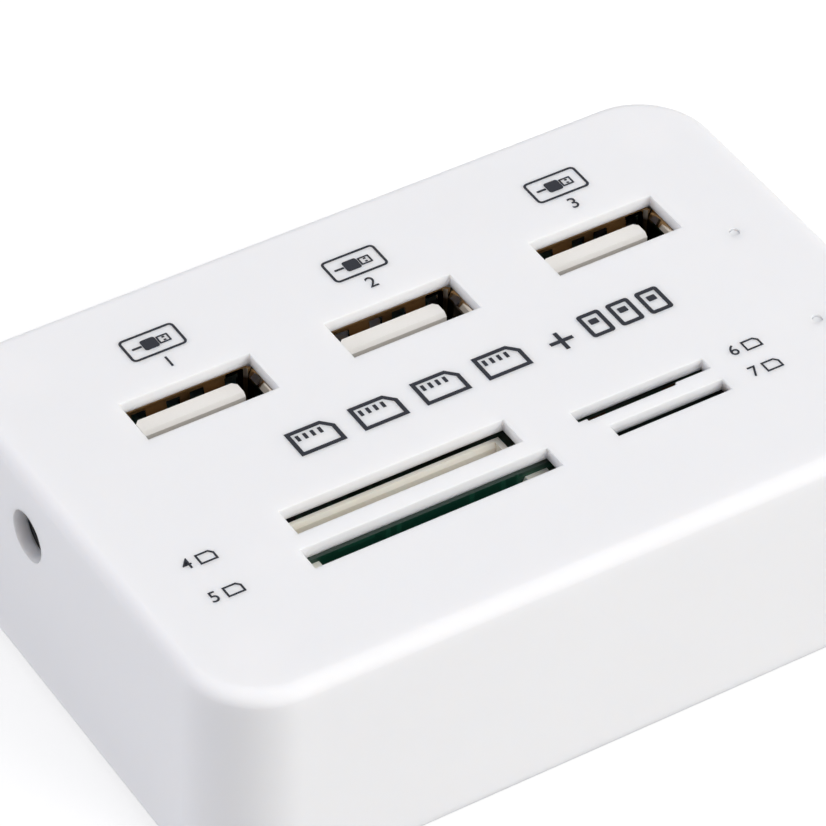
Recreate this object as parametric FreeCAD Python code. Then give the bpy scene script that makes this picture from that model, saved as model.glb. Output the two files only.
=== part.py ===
import FreeCAD, Part
import os
from FreeCAD import Vector

# Desktop hub and card reader: a white moulded box whose top face takes three plugs and four cards.
# Millimetres. X runs along the ports, Y to the back and Z up. The origin is under the middle, on the feet.

# Case
CASE_LENGTH = 78.0
CASE_WIDTH = 51.4
CASE_HEIGHT = 23.0
CORNER_RADIUS = 7.5
EDGE_ROUND = 1.4
SIDE_WALL = 1.4
TOP_WALL = 1.3

# Bottom cover and feet
PLATE_THICK = 1.6
PLATE_CLEAR = 0.15
FOOT_PROUD = 0.8
FOOT_SINK = 0.6
FOOT_RADIUS = 4.0
FOOT_CLEAR = 0.1
FOOT_INSET_X = 15.5
FOOT_INSET_Y = 7.2

# Screws that hold the two covers together
SCREW_INSET_X = 6.0
SCREW_INSET_Y = 5.7
SCREW_RADIUS = 1.25
SCREW_LENGTH = 10.0
SCREW_SINK = 3.4
HEAD_RADIUS = 2.2
HEAD_HEIGHT = 1.8
HEAD_CLEAR = 0.3
SHANK_CLEAR = 0.2
THREAD_CLEAR = 0.03
PILOT_SPARE = 0.8
BOSS_RADIUS = 3.0
POST_RADIUS = 3.2

# Main board, which lies flat in the back half with a lobe for the front indicator
BOARD_HEIGHT = 9.6
BOARD_THICK = 1.6
BOARD_CLEAR = 0.6
BOARD_FRONT_Y = -4.2
LOBE_REACH = 3.7
PEG_SIZE = 3.4
PEG_X = -30.0
PEG_SETBACK = 3.2
PIN_DROP = 1.2
PIN_CLEAR = 0.15

# Upright ports
PORT_FIRST_INSET = 18.2
PORT_LAST_INSET = 17.25
PORT_MIDDLE_SHIFT = -0.375
PORT_Y = 9.8
PORT_WINDOW_LENGTH = 13.2
PORT_WINDOW_WIDTH = 5.2
SOCKET_LENGTH = 12.5
SOCKET_WIDTH = 5.12
SHEET = 0.3
MOUTH_CLEAR = 0.1
SHELL_FOLD = 0.3
LIP_WIDTH = 4.2
LIP_HEIGHT = 0.8
LIP_FLARE = 0.35
LIP_SLIT = 0.1
LEG_WIDTH = 2.0
LEAF_WIDTH = 2.1
LEAF_SLIT = 1.4
LEAF_TIP_GAP = 0.45
LEAF_SPREAD = 2.95
LEAF_ROOT = 0.4
LEAF_LENGTH = 4.6
LEAF_BEND = 1.8
LEAF_BOW = 0.45
BASE_HEIGHT = 1.8
BASE_CLEAR = 0.05
TONGUE_LENGTH = 10.3
TONGUE_SHIFT = -0.4
TONGUE_THICK = 1.84
TONGUE_BEHIND = 0.66
TONGUE_DROP = 0.6
TONGUE_CUT = 0.4
TONGUE_LEAD = 0.35
CONTACT_OFFSETS = (-3.5, -1.0, 1.0, 3.5)
CONTACT_WIDTH = 1.0
CONTACT_THICK = 0.25
CONTACT_BOW = 0.35
CONTACT_DROP = 1.2

# Card board, which stands upright under the card slots
CARD_FACE_Y = -11.25
CARD_THICK = 1.0
CARD_TOP_CLEAR = 0.6
CARD_SIDE_LEFT = 3.2
CARD_SIDE_RIGHT = 5.2
CRADLE_FLOOR = 0.8
CRADLE_HEIGHT = 2.4
GUIDE_GRIP = 1.2
GUIDE_WALL = 1.3
GUIDE_DEPTH = 10.0
GUIDE_CLEAR = 0.1

# Card slots in the top face: the middle of each window and its size
FULL_X = -10.78
FULL_Y = -12.62
FULL_LENGTH = 25.0
FULL_WIDTH = 2.54
STICK_X = -11.0
STICK_Y = -7.95
STICK_LENGTH = 22.76
STICK_WIDTH = 3.2
SMALL_STICK_X = 12.82
SMALL_STICK_Y = -9.435
SMALL_STICK_LENGTH = 13.93
SMALL_STICK_WIDTH = 1.69
SMALL_STICK_STEP = 0.28
SMALL_STICK_STEP_X = 11.37
SMALL_STICK_STEP_LENGTH = 9.3
MICRO_X = 13.87
MICRO_Y = -12.49
MICRO_LENGTH = 11.93
MICRO_WIDTH = 1.52

# Card sockets
SLOT_EASE = 0.1
SOCKET_TOP_CLEAR = 0.3
FULL_DEPTH = 16.0
SMALL_DEPTH = 11.0
FULL_RAIL = 1.2
SMALL_RAIL = 0.8
BAR_HEIGHT = 2.4
LEDGE_THICK = 0.7
LEDGE_LEFT = 2.4
LEDGE_RIGHT = 2.6
LEDGE_LEFT_DROP = 0.75
LEDGE_RIGHT_DROP = 0.9
LEDGE_CUT = 0.35
LEDGE_CUT_DEPTH = 0.85
FULL_END_DROP = 2.6
FULL_SHEET = 0.25
SMALL_SHEET = 0.2
COVER_DROP = 0.4
NOTCH_LENGTH = 6.0
NOTCH_DEPTH = 1.5
SPRING_THICK = 0.2
SPRING_LENGTH = 6.0
SPRING_FOOT = 1.5
SPRING_KNEE = 4.8
SPRING_LIFT = 0.9
SPRING_TIP = 0.5
FULL_COUNT = 9
FULL_SPRING = 1.0
MICRO_COUNT = 8
SMALL_SPRING = 0.6
SMALL_STICK_COUNT = 11
STICK_DEPTH = 13.0
STICK_TOP_CLEAR = 0.9
STICK_BACK_GAP = 0.28
STICK_RIGHT_GAP = 0.85
STICK_WALL = 0.6
STICK_FLOOR = 1.6
STICK_LEAD_RISE = 0.5
STICK_LEAD_OUT = 0.2
STICK_COUNT = 10
STICK_SPRING = 0.9

# Pin header between the two boards
HEADER_X = 13.9
HEADER_HEIGHT = 5.0
HEADER_SIZE = 2.0
HEADER_PITCH = 2.0
HEADER_COUNT = 9
HEADER_PIN = 0.5
HEADER_BEND = 1.4
HEADER_CLEAR = 0.02

# Power jack behind the left wall
JACK_Y = 8.3
POWER_HOLE_RADIUS = 2.5
JACK_WALL_CLEAR = 0.1
JACK_LENGTH = 9.3
JACK_WIDTH = 6.5
JACK_AXIS_HEIGHT = 6.5
JACK_ROOF = 1.25
JACK_BORE_RADIUS = 2.0
JACK_BORE_DEPTH = 7.8
JACK_PIN_RADIUS = 0.65
JACK_PIN_RECESS = 1.8
JACK_PIN_CLEAR = 0.02
JACK_LEG_THICK = 0.3
JACK_LEG_WIDTH = 1.6
JACK_SPRING_BACK = 1.6
JACK_SPRING_LENGTH = 4.0
JACK_SPRING_RISE = 0.35

# Data inlet in the back wall
INLET_X = 0.0
INLET_RECESS = 0.5
INLET_LENGTH = 9.0
INLET_WIDTH = 7.7
INLET_HEIGHT = 3.95
INLET_TAPER = 0.9
INLET_SHOULDER = 1.7
INLET_WINDOW_CLEAR = 0.25
INLET_WINDOW_ROUND = 0.5
INLET_BLOCK = 3.2
INLET_TONGUE_WIDTH = 3.9
INLET_TONGUE_THICK = 0.9
INLET_TONGUE_RECESS = 1.2
INLET_PITCH = 0.8
INLET_COUNT = 5
INLET_CONTACT = 0.35
INLET_CONTACT_THICK = 0.15

# Indicators
LAMP_INSETS = ((6.9, 4.2), (7.3, -9.4))
LAMP_HOLE_RADIUS = 0.5
PIPE_SIZE = 2.4
PIPE_CLEAR = 0.05
PIPE_RECESS = 0.25
SLEEVE_WALL = 0.9
SLEEVE_LENGTH = 5.0
LAMP_LENGTH = 2.0
LAMP_WIDTH = 1.25
LAMP_HEIGHT = 0.8
LAMP_LENS_LENGTH = 1.2
LAMP_LENS_HEIGHT = 0.3
LAMP_AIR = 0.1

# Parts on the main board
HUB_CHIP_X = -13.5
CHIP_ROW_SETBACK = 5.2
HUB_CHIP_LENGTH = 10.2
HUB_CHIP_WIDTH = 4.0
HUB_LEAD_COUNT = 8
READER_CHIP_X = 13.5
READER_CHIP_SIZE = 6.0
READER_LEAD_COUNT = 8
CHIP_HEIGHT = 1.5
CHIP_STANDOFF = 0.1
CHIP_PITCH = 1.27
FINE_PITCH = 0.65
LEAD_REACH = 1.0
LEAD_THICK = 0.15
LEAD_SHARE = 0.4
CRYSTAL_X = -6.0
FRONT_ROW_SETBACK = 4.6
CRYSTAL_LENGTH = 5.0
CRYSTAL_WIDTH = 3.2
CRYSTAL_HEIGHT = 1.1
CRYSTAL_BASE = 0.8
CRYSTAL_RIM = 0.3
CAPACITOR_INSETS = (14.5, 21.0)
CAPACITOR_LENGTH = 7.3
CAPACITOR_WIDTH = 4.3
CAPACITOR_HEIGHT = 2.8
CAPACITOR_TAB_WIDTH = 2.4
CAPACITOR_TAB_OUT = 0.2
CAPACITOR_TAB_HEIGHT = 1.2
RESISTOR_X = (4.0, 7.0, 10.0, 13.0, 16.0, 19.0)
RESISTOR_LENGTH = 1.6
RESISTOR_WIDTH = 0.8
RESISTOR_HEIGHT = 0.45

# How far a cut runs past the face it opens, and how near two heights count as one
CUT_OVER = 1.0
NEAR = 1e-6

# Levels and places that follow from the sizes above
RIM_Z = FOOT_PROUD
TOP_Z = RIM_Z + CASE_HEIGHT
UNDER_Z = TOP_Z - TOP_WALL
PLATE_TOP_Z = RIM_Z + PLATE_THICK
BOARD_TOP_Z = RIM_Z + BOARD_HEIGHT
BOARD_LOW_Z = BOARD_TOP_Z - BOARD_THICK
PIN_END_Z = BOARD_LOW_Z - PIN_DROP
SCREW_SEAT_Z = RIM_Z + SCREW_SINK
MOUTH_Z = UNDER_Z - MOUTH_CLEAR
TIP_Z = MOUTH_Z - TONGUE_DROP
BASE_TOP_Z = BOARD_TOP_Z + BASE_HEIGHT
JACK_AXIS_Z = BOARD_TOP_Z + JACK_AXIS_HEIGHT
HALF_LENGTH = CASE_LENGTH / 2
HALF_WIDTH = CASE_WIDTH / 2
INNER_LENGTH = CASE_LENGTH - 2 * SIDE_WALL
INNER_WIDTH = CASE_WIDTH - 2 * SIDE_WALL
INNER_RADIUS = CORNER_RADIUS - SIDE_WALL
CARD_BACK_Y = CARD_FACE_Y + CARD_THICK
CARD_LOW_Z = PLATE_TOP_Z + CRADLE_FLOOR
CARD_TOP_Z = UNDER_Z - CARD_TOP_CLEAR
CARD_X0 = FULL_X - FULL_LENGTH / 2 - CARD_SIDE_LEFT
CARD_X1 = MICRO_X + MICRO_LENGTH / 2 + CARD_SIDE_RIGHT
SCREW_X = HALF_LENGTH - SCREW_INSET_X
SCREW_Y = HALF_WIDTH - SCREW_INSET_Y
FIRST_PORT_X = PORT_FIRST_INSET - HALF_LENGTH
LAST_PORT_X = HALF_LENGTH - PORT_LAST_INSET
MIDDLE_PORT_X = (FIRST_PORT_X + LAST_PORT_X) / 2 + PORT_MIDDLE_SHIFT
PORT_PLACES = (FIRST_PORT_X, MIDDLE_PORT_X, LAST_PORT_X)
LAMP_PLACES = [(HALF_LENGTH - inset, y) for inset, y in LAMP_INSETS]
BOARD_BACK_Y = INNER_WIDTH / 2 - BOARD_CLEAR
BACK_ROW_Y = BOARD_BACK_Y - CHIP_ROW_SETBACK
FRONT_ROW_Y = BOARD_FRONT_Y + FRONT_ROW_SETBACK
TONGUE_BACK_Y = PORT_Y + SOCKET_WIDTH / 2 - TONGUE_BEHIND
TONGUE_FRONT_Y = TONGUE_BACK_Y - TONGUE_THICK
FULL_X0 = FULL_X - FULL_LENGTH / 2 - SLOT_EASE
FULL_X1 = FULL_X + FULL_LENGTH / 2 + SLOT_EASE
FULL_FAR_Y = FULL_Y - FULL_WIDTH / 2 - SLOT_EASE
FULL_FLOOR_Z = TOP_Z - FULL_DEPTH
MICRO_X0 = MICRO_X - MICRO_LENGTH / 2 - SLOT_EASE
MICRO_X1 = MICRO_X + MICRO_LENGTH / 2 + SLOT_EASE
MICRO_FAR_Y = MICRO_Y - MICRO_WIDTH / 2 - SLOT_EASE
SMALL_STICK_X0 = SMALL_STICK_X - SMALL_STICK_LENGTH / 2 - SLOT_EASE
SMALL_STICK_X1 = SMALL_STICK_X + SMALL_STICK_LENGTH / 2 + SLOT_EASE
SMALL_STICK_FAR_Y = SMALL_STICK_Y + SMALL_STICK_WIDTH / 2 + SLOT_EASE
SMALL_FLOOR_Z = TOP_Z - SMALL_DEPTH
STICK_X0 = STICK_X - STICK_LENGTH / 2
STICK_X1 = STICK_X + STICK_LENGTH / 2 - STICK_RIGHT_GAP
STICK_FRONT_Y = STICK_Y - STICK_WIDTH / 2
STICK_BACK_Y = STICK_Y + STICK_WIDTH / 2 - STICK_BACK_GAP
STICK_FLOOR_Z = TOP_Z - STICK_DEPTH
HEADER_Z = RIM_Z + HEADER_HEIGHT
JACK_FACE_X = -INNER_LENGTH / 2 + JACK_WALL_CLEAR
JACK_BACK_X = JACK_FACE_X + JACK_LENGTH
JACK_SPRING_X = JACK_BACK_X - JACK_SPRING_BACK - JACK_LEG_THICK
JACK_SPRING_Z = JACK_AXIS_Z - JACK_BORE_RADIUS
INLET_MOUTH_Y = HALF_WIDTH - INLET_RECESS
INLET_END_Y = INLET_MOUTH_Y - INLET_LENGTH
INLET_TONGUE_Z = BOARD_TOP_Z + (INLET_HEIGHT - INLET_TONGUE_THICK) / 2
CAPACITOR_PLACES = [inset - HALF_LENGTH for inset in CAPACITOR_INSETS]


# Shapes that several pieces share

def block(x0, x1, y0, y1, z0, z1):
    """A box between two opposite corners, given in any order."""
    low = Vector(min(x0, x1), min(y0, y1), min(z0, z1))
    return Part.makeBox(abs(x1 - x0), abs(y1 - y0), abs(z1 - z0), low)


def column(x, y, length, width, z0, z1):
    """A box by the middle of its plan."""
    return block(x - length / 2, x + length / 2, y - width / 2, y + width / 2, z0, z1)


def rod(radius, x, y, z0, z1):
    """An upright round rod."""
    return Part.makeCylinder(radius, z1 - z0, Vector(x, y, z0))


def upright_edges(shape):
    """The straight vertical edges of a shape."""
    straight = [edge for edge in shape.Edges if edge.Curve.TypeId == "Part::GeomLine"]
    return [edge for edge in straight if abs(edge.Curve.Direction.z) > 1 - NEAR]


def edges_at(shape, z):
    """The edges that lie at one height."""
    return [edge for edge in shape.Edges if all(abs(point.Z - z) < NEAR for point in edge.Vertexes)]


def rounded(x, y, length, width, radius, z0, z1):
    """An upright prism with a rounded rectangular plan."""
    bar = column(x, y, length, width, z0, z1)
    return bar.makeFillet(radius, upright_edges(bar))


def bevelled(x, y, length, width, bevel, z0, z1):
    """An upright prism with a rectangular plan whose corners are cut."""
    bar = column(x, y, length, width, z0, z1)
    return bar.makeChamfer(bevel, upright_edges(bar))


def prism(points, push):
    """A closed outline of points, pushed along a vector."""
    outline = [Vector(*point) for point in points]
    return Part.Face(Part.makePolygon(outline + outline[:1])).extrude(Vector(*push))


def leaf(points, thick, x0, x1):
    """An upright leaf of sheet metal: one side's (y, z) points, a thickness along Y and a width along X."""
    side = [(x0, y, z) for y, z in points]
    other = [(x0, y + thick, z) for y, z in reversed(points)]
    return prism(side + other, (x1 - x0, 0, 0))


def join(first, others):
    """Several solids of one piece as one clean solid."""
    return first.fuse(others).removeSplitter()


def row(middle, pitch, count):
    """Evenly spaced places about a middle."""
    return [middle + pitch * (index - (count - 1) / 2) for index in range(count)]


def screw_places():
    """The four screws, front pair first."""
    return [(x, y) for y in (-SCREW_Y, SCREW_Y) for x in (-SCREW_X, SCREW_X)]


# Top cover

def window_cuts():
    """The seven windows in the top face, as the prisms that cut them."""
    low = UNDER_Z - CUT_OVER
    high = TOP_Z + CUT_OVER
    cuts = [column(x, PORT_Y, PORT_WINDOW_LENGTH, PORT_WINDOW_WIDTH, low, high) for x in PORT_PLACES]
    cuts.append(column(FULL_X, FULL_Y, FULL_LENGTH, FULL_WIDTH, low, high))
    cuts.append(column(STICK_X, STICK_Y, STICK_LENGTH, STICK_WIDTH, low, high))
    cuts.append(column(MICRO_X, MICRO_Y, MICRO_LENGTH, MICRO_WIDTH, low, high))
    front = SMALL_STICK_Y - SMALL_STICK_WIDTH / 2
    back = SMALL_STICK_Y + SMALL_STICK_WIDTH / 2
    half = SMALL_STICK_LENGTH / 2
    step = SMALL_STICK_STEP_LENGTH / 2
    ends = block(SMALL_STICK_X - half, SMALL_STICK_X + half, front + SMALL_STICK_STEP, back, low, high)
    middle = block(SMALL_STICK_STEP_X - step, SMALL_STICK_STEP_X + step, front, back, low, high)
    cuts.append(join(ends, [middle]))
    return cuts


def card_guides():
    """Two channels under the top wall that hold the card board by its ends."""
    low = UNDER_Z - GUIDE_DEPTH
    y0 = CARD_FACE_Y - GUIDE_CLEAR
    y1 = CARD_BACK_Y + GUIDE_CLEAR
    guides = []
    for end, inward in ((CARD_X0, 1), (CARD_X1, -1)):
        inner = end + inward * GUIDE_GRIP
        outer = end - inward * (GUIDE_CLEAR + GUIDE_WALL)
        channel = block(inner, outer, y0 - GUIDE_WALL, y1 + GUIDE_WALL, low, UNDER_Z)
        guides.append(channel.cut(block(inner, end - inward * GUIDE_CLEAR, y0, y1, low, CARD_TOP_Z)))
    return guides


def inlet_window():
    """The opening in the back wall around the data inlet."""
    width = INLET_WIDTH + 2 * INLET_WINDOW_CLEAR
    low = BOARD_TOP_Z - INLET_WINDOW_CLEAR
    high = BOARD_TOP_Z + INLET_HEIGHT + INLET_WINDOW_CLEAR
    inside = HALF_WIDTH - SIDE_WALL - CUT_OVER
    outside = HALF_WIDTH + CUT_OVER
    hole = block(INLET_X - width / 2, INLET_X + width / 2, inside, outside, low, high)
    along = [edge for edge in hole.Edges if abs(edge.Curve.Direction.y) > 1 - NEAR]
    return hole.makeFillet(INLET_WINDOW_ROUND, along)


def top_cover():
    """The white lid with its walls, windows, screw bosses, card guides and lamp sleeves."""
    outer = rounded(0, 0, CASE_LENGTH, CASE_WIDTH, CORNER_RADIUS, RIM_Z, TOP_Z)
    outer = outer.makeFillet(EDGE_ROUND, edges_at(outer, TOP_Z))
    inner = rounded(0, 0, INNER_LENGTH, INNER_WIDTH, INNER_RADIUS, RIM_Z - CUT_OVER, UNDER_Z)
    cover = outer.cut(inner).cut(window_cuts())
    tip = SCREW_SEAT_Z + SCREW_LENGTH
    inside = card_guides()
    holes = []
    for x, y in screw_places():
        inside.append(rod(BOSS_RADIUS, x, y, BOARD_TOP_Z, UNDER_Z))
        holes.append(rod(SCREW_RADIUS + THREAD_CLEAR, x, y, BOARD_TOP_Z, tip + PILOT_SPARE))
    bore = PIPE_SIZE + 2 * PIPE_CLEAR
    sleeve = bore + 2 * SLEEVE_WALL
    for x, y in LAMP_PLACES:
        inside.append(column(x, y, sleeve, sleeve, UNDER_Z - SLEEVE_LENGTH, UNDER_Z))
        holes.append(column(x, y, bore, bore, UNDER_Z - SLEEVE_LENGTH, UNDER_Z))
        holes.append(rod(LAMP_HOLE_RADIUS, x, y, UNDER_Z, TOP_Z))
    holes.append(along_jack(POWER_HOLE_RADIUS, -HALF_LENGTH - CUT_OVER, JACK_FACE_X))
    holes.append(inlet_window())
    return join(cover, inside).cut(holes)


# Bottom cover, feet and screws

def foot_places():
    """The four rubber feet, front pair first."""
    x = HALF_LENGTH - FOOT_INSET_X
    y = HALF_WIDTH - FOOT_INSET_Y
    return [(sx * x, sy * y) for sy in (-1, 1) for sx in (-1, 1)]


def rubber_foot(x, y):
    """A round pad that sits in its recess and stands proud of the plate."""
    return rod(FOOT_RADIUS, x, y, 0, RIM_Z + FOOT_SINK)


def bottom_cover():
    """The plate inside the walls, with screw posts, board pegs and the card board's two cradles."""
    length = INNER_LENGTH - 2 * PLATE_CLEAR
    width = INNER_WIDTH - 2 * PLATE_CLEAR
    plate = rounded(0, 0, length, width, INNER_RADIUS - PLATE_CLEAR, RIM_Z, PLATE_TOP_Z)
    standing = []
    holes = []
    for x, y in screw_places():
        top = BOARD_LOW_Z if y > 0 else BOARD_TOP_Z
        standing.append(rod(POST_RADIUS, x, y, RIM_Z, top))
        holes.append(rod(HEAD_RADIUS + HEAD_CLEAR, x, y, RIM_Z, SCREW_SEAT_Z))
        holes.append(rod(SCREW_RADIUS + SHANK_CLEAR, x, y, SCREW_SEAT_Z, top))
    lamp_x, lamp_y = LAMP_PLACES[1]
    for x, y in ((PEG_X, BOARD_FRONT_Y + PEG_SETBACK), (lamp_x, lamp_y)):
        standing.append(column(x, y, PEG_SIZE, PEG_SIZE, RIM_Z, BOARD_LOW_Z))
    y0 = CARD_FACE_Y - GUIDE_CLEAR
    y1 = CARD_BACK_Y + GUIDE_CLEAR
    top = PLATE_TOP_Z + CRADLE_HEIGHT
    for end, inward in ((CARD_X0, 1), (CARD_X1, -1)):
        inner = end + inward * GUIDE_GRIP
        outer = end - inward * (GUIDE_CLEAR + GUIDE_WALL)
        cradle = block(inner, outer, y0 - GUIDE_WALL, y1 + GUIDE_WALL, RIM_Z, top)
        standing.append(cradle.cut(block(inner, end - inward * GUIDE_CLEAR, y0, y1, CARD_LOW_Z, top)))
    for x, y in foot_places():
        holes.append(rod(FOOT_RADIUS + FOOT_CLEAR, x, y, RIM_Z, RIM_Z + FOOT_SINK))
    return join(plate, standing).cut(holes)


def case_screw(x, y):
    """A pan-head screw, driven up through the bottom cover into a boss."""
    head = rod(HEAD_RADIUS, x, y, SCREW_SEAT_Z - HEAD_HEIGHT, SCREW_SEAT_Z)
    return join(head, [rod(SCREW_RADIUS, x, y, SCREW_SEAT_Z, SCREW_SEAT_Z + SCREW_LENGTH)])


# Upright port sockets

def port_leaf(x, side):
    """A spring leaf of the socket's back (side 1) or front (side -1) wall, and the slit around it."""
    face = PORT_Y + side * SOCKET_WIDTH / 2
    root = MOUTH_Z - LEAF_ROOT
    end = root - LEAF_LENGTH
    points = [(face, root), (face - side * LEAF_BOW, root - LEAF_BEND), (face, end + LEAF_TIP_GAP)]
    spring = leaf(points, side * SHEET, x - LEAF_WIDTH / 2, x + LEAF_WIDTH / 2)
    gap = LEAF_WIDTH / 2 + LEAF_SLIT
    return spring, block(x - gap, x + gap, face, face + side * SHEET, end, root)


def port_lip(wall, side):
    """The flared lip of the sleeve's right (side 1) or left (side -1) wall, and the notch for it."""
    low = MOUTH_Z - LIP_HEIGHT
    y = PORT_Y - LIP_WIDTH / 2
    back = wall + side * SHEET
    flare = side * LIP_FLARE
    outline = [(wall, low), (wall + flare, MOUTH_Z), (back + flare, MOUTH_Z), (back, low)]
    lip = prism([(x, y, z) for x, z in outline], (0, LIP_WIDTH, 0))
    notch = block(wall, back, y - LIP_SLIT, y + LIP_WIDTH + LIP_SLIT, low, MOUTH_Z)
    return lip, notch


def port_shell(x):
    """The folded steel sleeve of one port, with four spring leaves, two flared lips and two board legs."""
    length = SOCKET_LENGTH + 2 * SHEET
    width = SOCKET_WIDTH + 2 * SHEET
    outer = bevelled(x, PORT_Y, length, width, SHELL_FOLD + SHEET / 2, BOARD_TOP_Z, MOUTH_Z)
    inner = bevelled(x, PORT_Y, SOCKET_LENGTH, SOCKET_WIDTH, SHELL_FOLD, BOARD_TOP_Z, MOUTH_Z)
    pieces = []
    slits = []
    for side in (1, -1):
        for shift in (-LEAF_SPREAD, LEAF_SPREAD):
            spring, slit = port_leaf(x + shift, side)
            pieces.append(spring)
            slits.append(slit)
        wall = x + side * SOCKET_LENGTH / 2
        lip, notch = port_lip(wall, side)
        slits.append(notch)
        pieces.append(lip)
        pieces.append(block(wall, wall + side * SHEET, PORT_Y - LEG_WIDTH / 2, PORT_Y + LEG_WIDTH / 2,
                            PIN_END_Z, BOARD_TOP_Z))
    return join(outer.cut([inner] + slits), pieces)


def contact_slots(x, clear, z0, z1):
    """Clearance around the four contacts of one port."""
    half = CONTACT_WIDTH / 2 + clear
    y0 = TONGUE_FRONT_Y - CONTACT_THICK - clear
    return [block(x + shift - half, x + shift + half, y0, TONGUE_FRONT_Y, z0, z1)
            for shift in CONTACT_OFFSETS]


def port_insulator(x):
    """The moulded base of one port and the tongue that carries its contacts."""
    length = SOCKET_LENGTH - 2 * BASE_CLEAR
    width = SOCKET_WIDTH - 2 * BASE_CLEAR
    base = bevelled(x, PORT_Y, length, width, SHELL_FOLD, BOARD_TOP_Z, BASE_TOP_Z)
    left = x + TONGUE_SHIFT - TONGUE_LENGTH / 2
    right = left + TONGUE_LENGTH
    plan = [(left, TONGUE_FRONT_Y), (right, TONGUE_FRONT_Y), (right, TONGUE_BACK_Y - TONGUE_CUT),
            (right - TONGUE_CUT, TONGUE_BACK_Y), (left + TONGUE_CUT, TONGUE_BACK_Y),
            (left, TONGUE_BACK_Y - TONGUE_CUT)]
    tongue = prism([(px, py, BOARD_TOP_Z) for px, py in plan], (0, 0, TIP_Z - BOARD_TOP_Z))
    lead = [edge for edge in edges_at(tongue, TIP_Z) if abs(edge.CenterOfMass.y - TONGUE_FRONT_Y) < NEAR]
    tongue = tongue.makeChamfer(TONGUE_LEAD, lead)
    return join(base, [tongue]).cut(contact_slots(x, BASE_CLEAR, BOARD_TOP_Z, BASE_TOP_Z))


def port_contacts(x):
    """Four bowed contacts on the tongue's front face, with their board pins."""
    top = TIP_Z - CONTACT_DROP
    middle = (BASE_TOP_Z + top) / 2
    points = [(TONGUE_FRONT_Y, PIN_END_Z), (TONGUE_FRONT_Y, BASE_TOP_Z),
              (TONGUE_FRONT_Y - CONTACT_BOW, middle), (TONGUE_FRONT_Y, top)]
    half = CONTACT_WIDTH / 2
    return [leaf(points, -CONTACT_THICK, x + shift - half, x + shift + half) for shift in CONTACT_OFFSETS]


# Main board and what is soldered to it

def main_board():
    """The flat board, cut for screws, legs and pins, with a lobe under the front indicator."""
    length = INNER_LENGTH - 2 * BOARD_CLEAR
    blank = rounded(0, 0, length, 2 * BOARD_BACK_Y, INNER_RADIUS - BOARD_CLEAR, BOARD_LOW_Z, BOARD_TOP_Z)
    lamp_x, lamp_y = LAMP_PLACES[1]
    back = block(-length, length, BOARD_FRONT_Y, INNER_WIDTH, BOARD_LOW_Z, BOARD_TOP_Z)
    lobe = block(lamp_x - LOBE_REACH, length, lamp_y - LOBE_REACH, INNER_WIDTH, BOARD_LOW_Z, BOARD_TOP_Z)
    board = blank.common(join(back, [lobe]))
    holes = [rod(SCREW_RADIUS + SHANK_CLEAR, x, SCREW_Y, BOARD_LOW_Z, BOARD_TOP_Z)
             for x in (-SCREW_X, SCREW_X)]
    for x in PORT_PLACES:
        for side in (-1, 1):
            middle = x + side * (SOCKET_LENGTH + SHEET) / 2
            holes.append(column(middle, PORT_Y, SHEET + 2 * PIN_CLEAR, LEG_WIDTH + 2 * PIN_CLEAR,
                                BOARD_LOW_Z, BOARD_TOP_Z))
        holes += contact_slots(x, PIN_CLEAR, BOARD_LOW_Z, BOARD_TOP_Z)
    size = HEADER_PIN + 2 * PIN_CLEAR
    for x in row(HEADER_X, HEADER_PITCH, HEADER_COUNT):
        holes.append(column(x, BOARD_FRONT_Y + HEADER_BEND, size, size, BOARD_LOW_Z, BOARD_TOP_Z))
    for x in (JACK_BACK_X + JACK_LEG_THICK / 2, JACK_SPRING_X + JACK_LEG_THICK / 2):
        holes.append(column(x, JACK_Y, JACK_LEG_THICK + 2 * PIN_CLEAR, JACK_LEG_WIDTH + 2 * PIN_CLEAR,
                            BOARD_LOW_Z, BOARD_TOP_Z))
    return board.cut(holes)


def gull_lead(x, y, turn, pitch):
    """One gull-wing lead, pointing along +X before it is turned about its chip's middle."""
    half = pitch * LEAD_SHARE / 2
    bend = x + LEAD_REACH / 2
    end = x + LEAD_REACH
    high = BOARD_TOP_Z + CHIP_STANDOFF + CHIP_HEIGHT / 2
    low = BOARD_TOP_Z
    upper = [(x, high), (bend, high), (bend, low + LEAD_THICK), (end, low + LEAD_THICK)]
    lower = [(end, low), (bend - LEAD_THICK, low), (bend - LEAD_THICK, high - LEAD_THICK),
             (x, high - LEAD_THICK)]
    points = [(px, y - half, pz) for px, pz in upper + lower]
    lead = prism(points, (0, 2 * half, 0))
    lead.rotate(Vector(0, 0, 0), Vector(0, 0, 1), turn)
    return lead


def chip(x, y, length, width):
    """A moulded chip body, just clear of the board on its leads."""
    low = BOARD_TOP_Z + CHIP_STANDOFF
    return column(x, y, length, width, low, low + CHIP_HEIGHT)


def chip_leads(x, y, half_length, half_width, pitch, count, turns):
    """The leads of one chip, on the sides that the turns name."""
    leads = []
    for turn in turns:
        reach = half_length if turn in (0, 180) else half_width
        for place in row(0, pitch, count):
            lead = gull_lead(reach, place, turn, pitch)
            lead.translate(Vector(x, y, 0))
            leads.append(lead)
    return leads


def clock_crystal():
    """The flat package of the clock crystal, with a metal lid inside its rim."""
    base = column(CRYSTAL_X, FRONT_ROW_Y, CRYSTAL_LENGTH, CRYSTAL_WIDTH,
                  BOARD_TOP_Z, BOARD_TOP_Z + CRYSTAL_BASE)
    lid = column(CRYSTAL_X, FRONT_ROW_Y, CRYSTAL_LENGTH - 2 * CRYSTAL_RIM, CRYSTAL_WIDTH - 2 * CRYSTAL_RIM,
                 BOARD_TOP_Z, BOARD_TOP_Z + CRYSTAL_HEIGHT)
    return join(base, [lid])


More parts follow.
